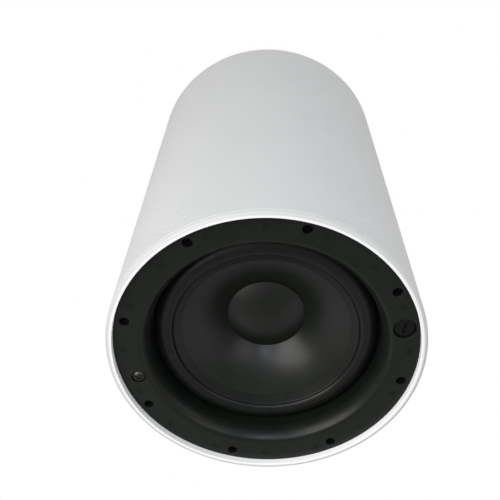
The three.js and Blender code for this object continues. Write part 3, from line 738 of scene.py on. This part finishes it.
def inlet():
    bottom, top = low("inlet_plate"), high("inlet_plate")
    body = plate(panel(top.x - bottom.x, top.y - bottom.y, 3, INLET, 5), bottom.z, top.z, 0.35)
    holes = [box((42, 16, 12), (HEADER.x, HEADER.y, top.z), bevel=0.5),
             rod(6.5, 390, 420, GLAND, segments=40)]
    holes += [rod(1.9, 390, 420, centre(f"inlet_screw_{i}"), segments=24) for i in (1, 2)]
    piece("inlet_plate_steel", cut(body, merged(holes)), black_steel,
          stands_for=["inlet_plate"])

    middle = (low("inlet_header") + high("inlet_header")) / 2
    block = box(high("inlet_header") - low("inlet_header"), middle, bevel=0.5)
    ways = []
    for i in (-1.5, -0.5, 0.5, 1.5):
        x = HEADER.x + 9.6 * i
        ways.append(box((7.5, 9, 12), (x, HEADER.y, 411), bevel=0.5))
    piece("inlet_header_block", cut(block, merged(ways)), connector_green,
          stands_for=["inlet_header"])

    for i in (1, 2):
        node = f"inlet_screw_{i}"
        at, foot, head = centre(node), low(node).z, high(node).z
        outline = rounded([(0, foot, 0), (1.5, foot, 0.3), (1.5, head - 2, 0), (3.2, head - 2, 0.2),
                           (3.2, head, 1.1), (0, head, 0)], 5)
        slot = box((6.6, 0.9, 1.6), (at.x, at.y, head), math.radians(25 + 70 * i))
        piece(f"{node}_steel", cut(revolve(outline, 40, at), slot), bright_steel,
              stands_for=[node])


def cable_gland():
    base = high("inlet_plate").z + 0.3
    foot, top = low("cable_gland").z, high("cable_gland").z
    nut = revolve(rounded([(0, base, 0), (9, base, 0.5), (9, base + 5.7, 0.6),
                           (0, base + 5.7, 0)], 3), 6, GLAND)
    collar = revolve(rounded([(0, base + 5, 0), (8, base + 5, 0.4), (8, top, 2.0),
                              (0, top, 0)], 6), 72, GLAND)
    grips = [rod(0.7, base + 5.9, top + 1,
                 (GLAND.x + 8.3 * math.cos(a), GLAND.y + 8.3 * math.sin(a)), segments=16)
             for a in (2 * math.pi * i / 14 for i in range(14))]
    thread = rod(6, foot, base + 1, GLAND)
    bore = rod(3.4, foot - 1, top + 1, GLAND)
    body = join(nut, cut(collar, merged(grips)), thread)
    piece("cable_gland_moulding", cut(body, bore), black_plastic,
          stands_for=["cable_gland"])


# Driver

SURROUND = {"valley_r": 78.9, "valley_z": 26.9, "foot_r": 95.8, "foot_z": 31.2, "rise": 5.8}
RUBBER = 1.2


def roll(share):
    """A point of the surround's half roll, from the cone's side (0) to the frame's (1)."""
    t = (1 - math.cos(math.pi * share)) / 2
    r = SURROUND["valley_r"] + t * (SURROUND["foot_r"] - SURROUND["valley_r"])
    base = SURROUND["valley_z"] + t * (SURROUND["foot_z"] - SURROUND["valley_z"])
    return r, base - SURROUND["rise"] * math.sin(math.pi * share)


def surround():
    steps = 28
    crest = [roll(i / steps) for i in range(1, steps)]
    middle = (SURROUND["valley_r"] + SURROUND["foot_r"]) / 2
    inside = [(middle + (r - middle) * 0.84, z + RUBBER) for r, z in reversed(crest[1:-1])]
    front = rounded([
        (CONE_VISIBLE_R, 30.6, 0),
        (CONE_VISIBLE_R, 30.45, 0),
        (SURROUND["valley_r"], SURROUND["valley_z"], 1.2),
        (*crest[0], 0),
    ], 5)
    outline = [
        *front, *crest[1:],
        (96.2, 31.7), (98.7, 31.7), (98.7, 32.8), (96.2, 32.8),
        *inside,
        (SURROUND["valley_r"], SURROUND["valley_z"] + RUBBER),
    ]
    obj = piece("surround_roll", revolve(outline, 256), black_rubber,
                body=None, stands_for=["surround"])
    follow_cone(obj)


def follow_cone(obj):
    """Bakes obj's placement into its mesh."""
    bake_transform(obj)


def cone_z(r):
    """The cone's mouth side: shallow at the rim and steeper towards the coil."""
    t = (CONE_VISIBLE_R - r) / (CONE_VISIBLE_R - DUST_CAP_R)
    return 30.7 + (CONE_VISIBLE_R - DUST_CAP_R) * (0.38 * t + 0.12 * t ** 2 + 0.17 * t ** 3)


def cone():
    thickness = 1.3
    steps = 40
    neck = FORMER_R + 0.3
    radii = [CONE_RIM_R + (DUST_CAP_R - 1 - CONE_RIM_R) * i / steps for i in range(steps + 1)]
    front = [(r, cone_z(r)) for r in radii] + [(neck, 63.2)]
    back = [(r, z + thickness) for r, z in reversed(front)]
    piece("cone_moulding", revolve(front + back, 256), black_cone,
          body="diaphragm", stands_for=["cone"])


def dust_cap():
    rise = 8
    sphere_r = (DUST_CAP_R ** 2 + rise ** 2) / (2 * rise)
    edge = math.asin(DUST_CAP_R / sphere_r)
    rim = cone_z(DUST_CAP_R) - 0.5
    middle = rim + sphere_r * math.cos(edge)
    steps = 28
    outer = [(sphere_r * math.sin(edge * i / steps), middle - sphere_r * math.cos(edge * i / steps))
             for i in range(steps + 1)]
    inner_r = sphere_r - 1.0
    inner = [(inner_r * math.sin(edge * i / steps), middle - inner_r * math.cos(edge * i / steps))
             for i in range(steps, -1, -1)]
    piece("dust_cap_dome", revolve(outer + inner, 192), black_cone,
          body="diaphragm", stands_for=["dust_cap"])


def spider():
    """The corrugated cloth ring that keeps the coil former centred."""
    inner, outer, thickness = FORMER_R + 0.3, high("spider").x, 0.7
    first, last, fold = 31.58, 57.42, 5.167
    steps = 140
    face = []
    for i in range(steps + 1):
        r = inner + (outer - inner) * i / steps
        wave = math.sin(math.pi * (r - first) / fold) if first < r < last else 0
        face.append((r, 65.8 - 1.1 * wave))
    back = [(r, z + thickness) for r, z in reversed(face)]
    obj = piece("spider_ring", revolve(face + back, 192), spider_cloth,
                body=None, stands_for=["spider"])
    follow_cone(obj)


def tinsel_leads():
    """Two flexible leads that hang in a loop from the terminal strip to the cone's back."""
    angle = math.radians(-116.5)
    outward = Vector((math.cos(angle), math.sin(angle), 0))
    sideways = Vector((-math.sin(angle), math.cos(angle), 0))
    stops = [(74, 65.5), (76.4, 61.5), (75, 57.5), (64, 55.5), (52, 53.5), (46, 50.5), (44.5, 48)]
    for i, side in enumerate((-8, 8), 1):
        points = [(outward * r + sideways * side + Vector((0, 0, z))) * MM for r, z in stops]
        obj = piece(f"tinsel_braid_{i}", wire(points, 0.9), copper, body=None,
                    stands_for=[f"tinsel_lead_{i}"])
        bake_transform(obj)


# Stage

CAMERA_PLACE = Vector((0, -388.3, -482.6)) * MM
CAMERA_PITCH = math.radians(59.06)
CAMERA_YAW = math.radians(-2.46)
CAMERA_ROLL = math.radians(2.47)
CAMERA_LENS = 53.94
FLOOR_Z = -1.6
WORLD_LIGHT = 0.49


def camera():
    """A camera below the near edge of the mouth, looking up along the cylinder."""
    forward = Vector((math.sin(CAMERA_YAW) * math.cos(CAMERA_PITCH),
                      math.cos(CAMERA_YAW) * math.cos(CAMERA_PITCH), math.sin(CAMERA_PITCH)))
    right = forward.cross(Vector((0, 0, 1))).normalized()
    up = right.cross(forward)
    across = right * math.cos(CAMERA_ROLL) + up * math.sin(CAMERA_ROLL)
    upward = up * math.cos(CAMERA_ROLL) - right * math.sin(CAMERA_ROLL)
    data = bpy.data.cameras.new("camera")
    data.lens = CAMERA_LENS
    data.sensor_width = 36
    data.clip_start = 0.01
    obj = bpy.data.objects.new("camera", data)
    scene.collection.objects.link(obj)
    turn = Matrix((across, upward, -forward)).transposed()
    obj.matrix_world = Matrix.Translation(CAMERA_PLACE) @ turn.to_4x4()
    scene.camera = obj


def lamp(name, turn, rise, size, power, color=(1, 1, 1)):
    """A soft panel aimed at the mouth, turned to the left of the near side, in degrees."""
    turn, rise = math.radians(turn), math.radians(rise)
    target = Vector((0, 0, 0.03))
    away = Vector((-math.sin(turn) * math.cos(rise), -math.cos(turn) * math.cos(rise),
                   math.sin(rise)))
    data = bpy.data.lights.new(name, "AREA")
    data.size = size
    data.energy = power
    data.color = color
    obj = bpy.data.objects.new(name, data)
    scene.collection.objects.link(obj)
    obj.location = target + away * 1.6
    obj.rotation_mode = "QUATERNION"
    obj.rotation_quaternion = (-away).to_track_quat("-Z", "Y")


def studio():
    floor = bpy.data.objects.new("floor", plate(
        [(-1000, -1000), (1000, -1000), (1000, 1000), (-1000, 1000)],
        FLOOR_Z / MM - 20, FLOOR_Z / MM, 2))
    floor.data.materials.append(moulded("floor_paint", (0.45, 0.45, 0.44), 0.7, tint=0.02,
                                        patch_mm=400, grain_mm=3))
    scene.collection.objects.link(floor)
    world = bpy.data.worlds.new("studio")
    scene.world = world
    world.use_nodes = True
    tree = world.node_tree
    air = tree.nodes["Background"]
    air.inputs["Color"].default_value = (1, 1, 1, 1)
    seen = tree.nodes.new("ShaderNodeMapRange")
    seen.inputs["To Min"].default_value = WORLD_LIGHT
    tree.links.new(tree.nodes.new("ShaderNodeLightPath").outputs["Is Camera Ray"],
                   seen.inputs["Value"])
    tree.links.new(seen.outputs["Result"], air.inputs["Strength"])
    scene.view_settings.view_transform = "Standard"
    lamp("key", 53, -36, 1.3, 23, (1.0, 0.99, 0.955))
    lamp("front", 0, -37, 0.5, 5.5, (0.74, 0.85, 1.0))
    lamp("fill", -48, -37, 0.8, 3.2, (1.0, 0.99, 0.95))
    lamp("right", -66, 6, 0.9, 5.5)
    lamp("left", 95, 6, 0.9, 1.2)
    lamp("back_left", 140, -32, 0.9, 1.0)
    lamp("back_right", -126, -42, 0.9, 0.8)


dress_frame()
outer_skin()
baffle()
baffle_screws()
tether_screw()
tap_selector()
surround()
cone()
dust_cap()
spider()
tinsel_leads()
top_cap()
hang_plate()
eye_bolts()
inlet()
cable_gland()
camera()
studio()
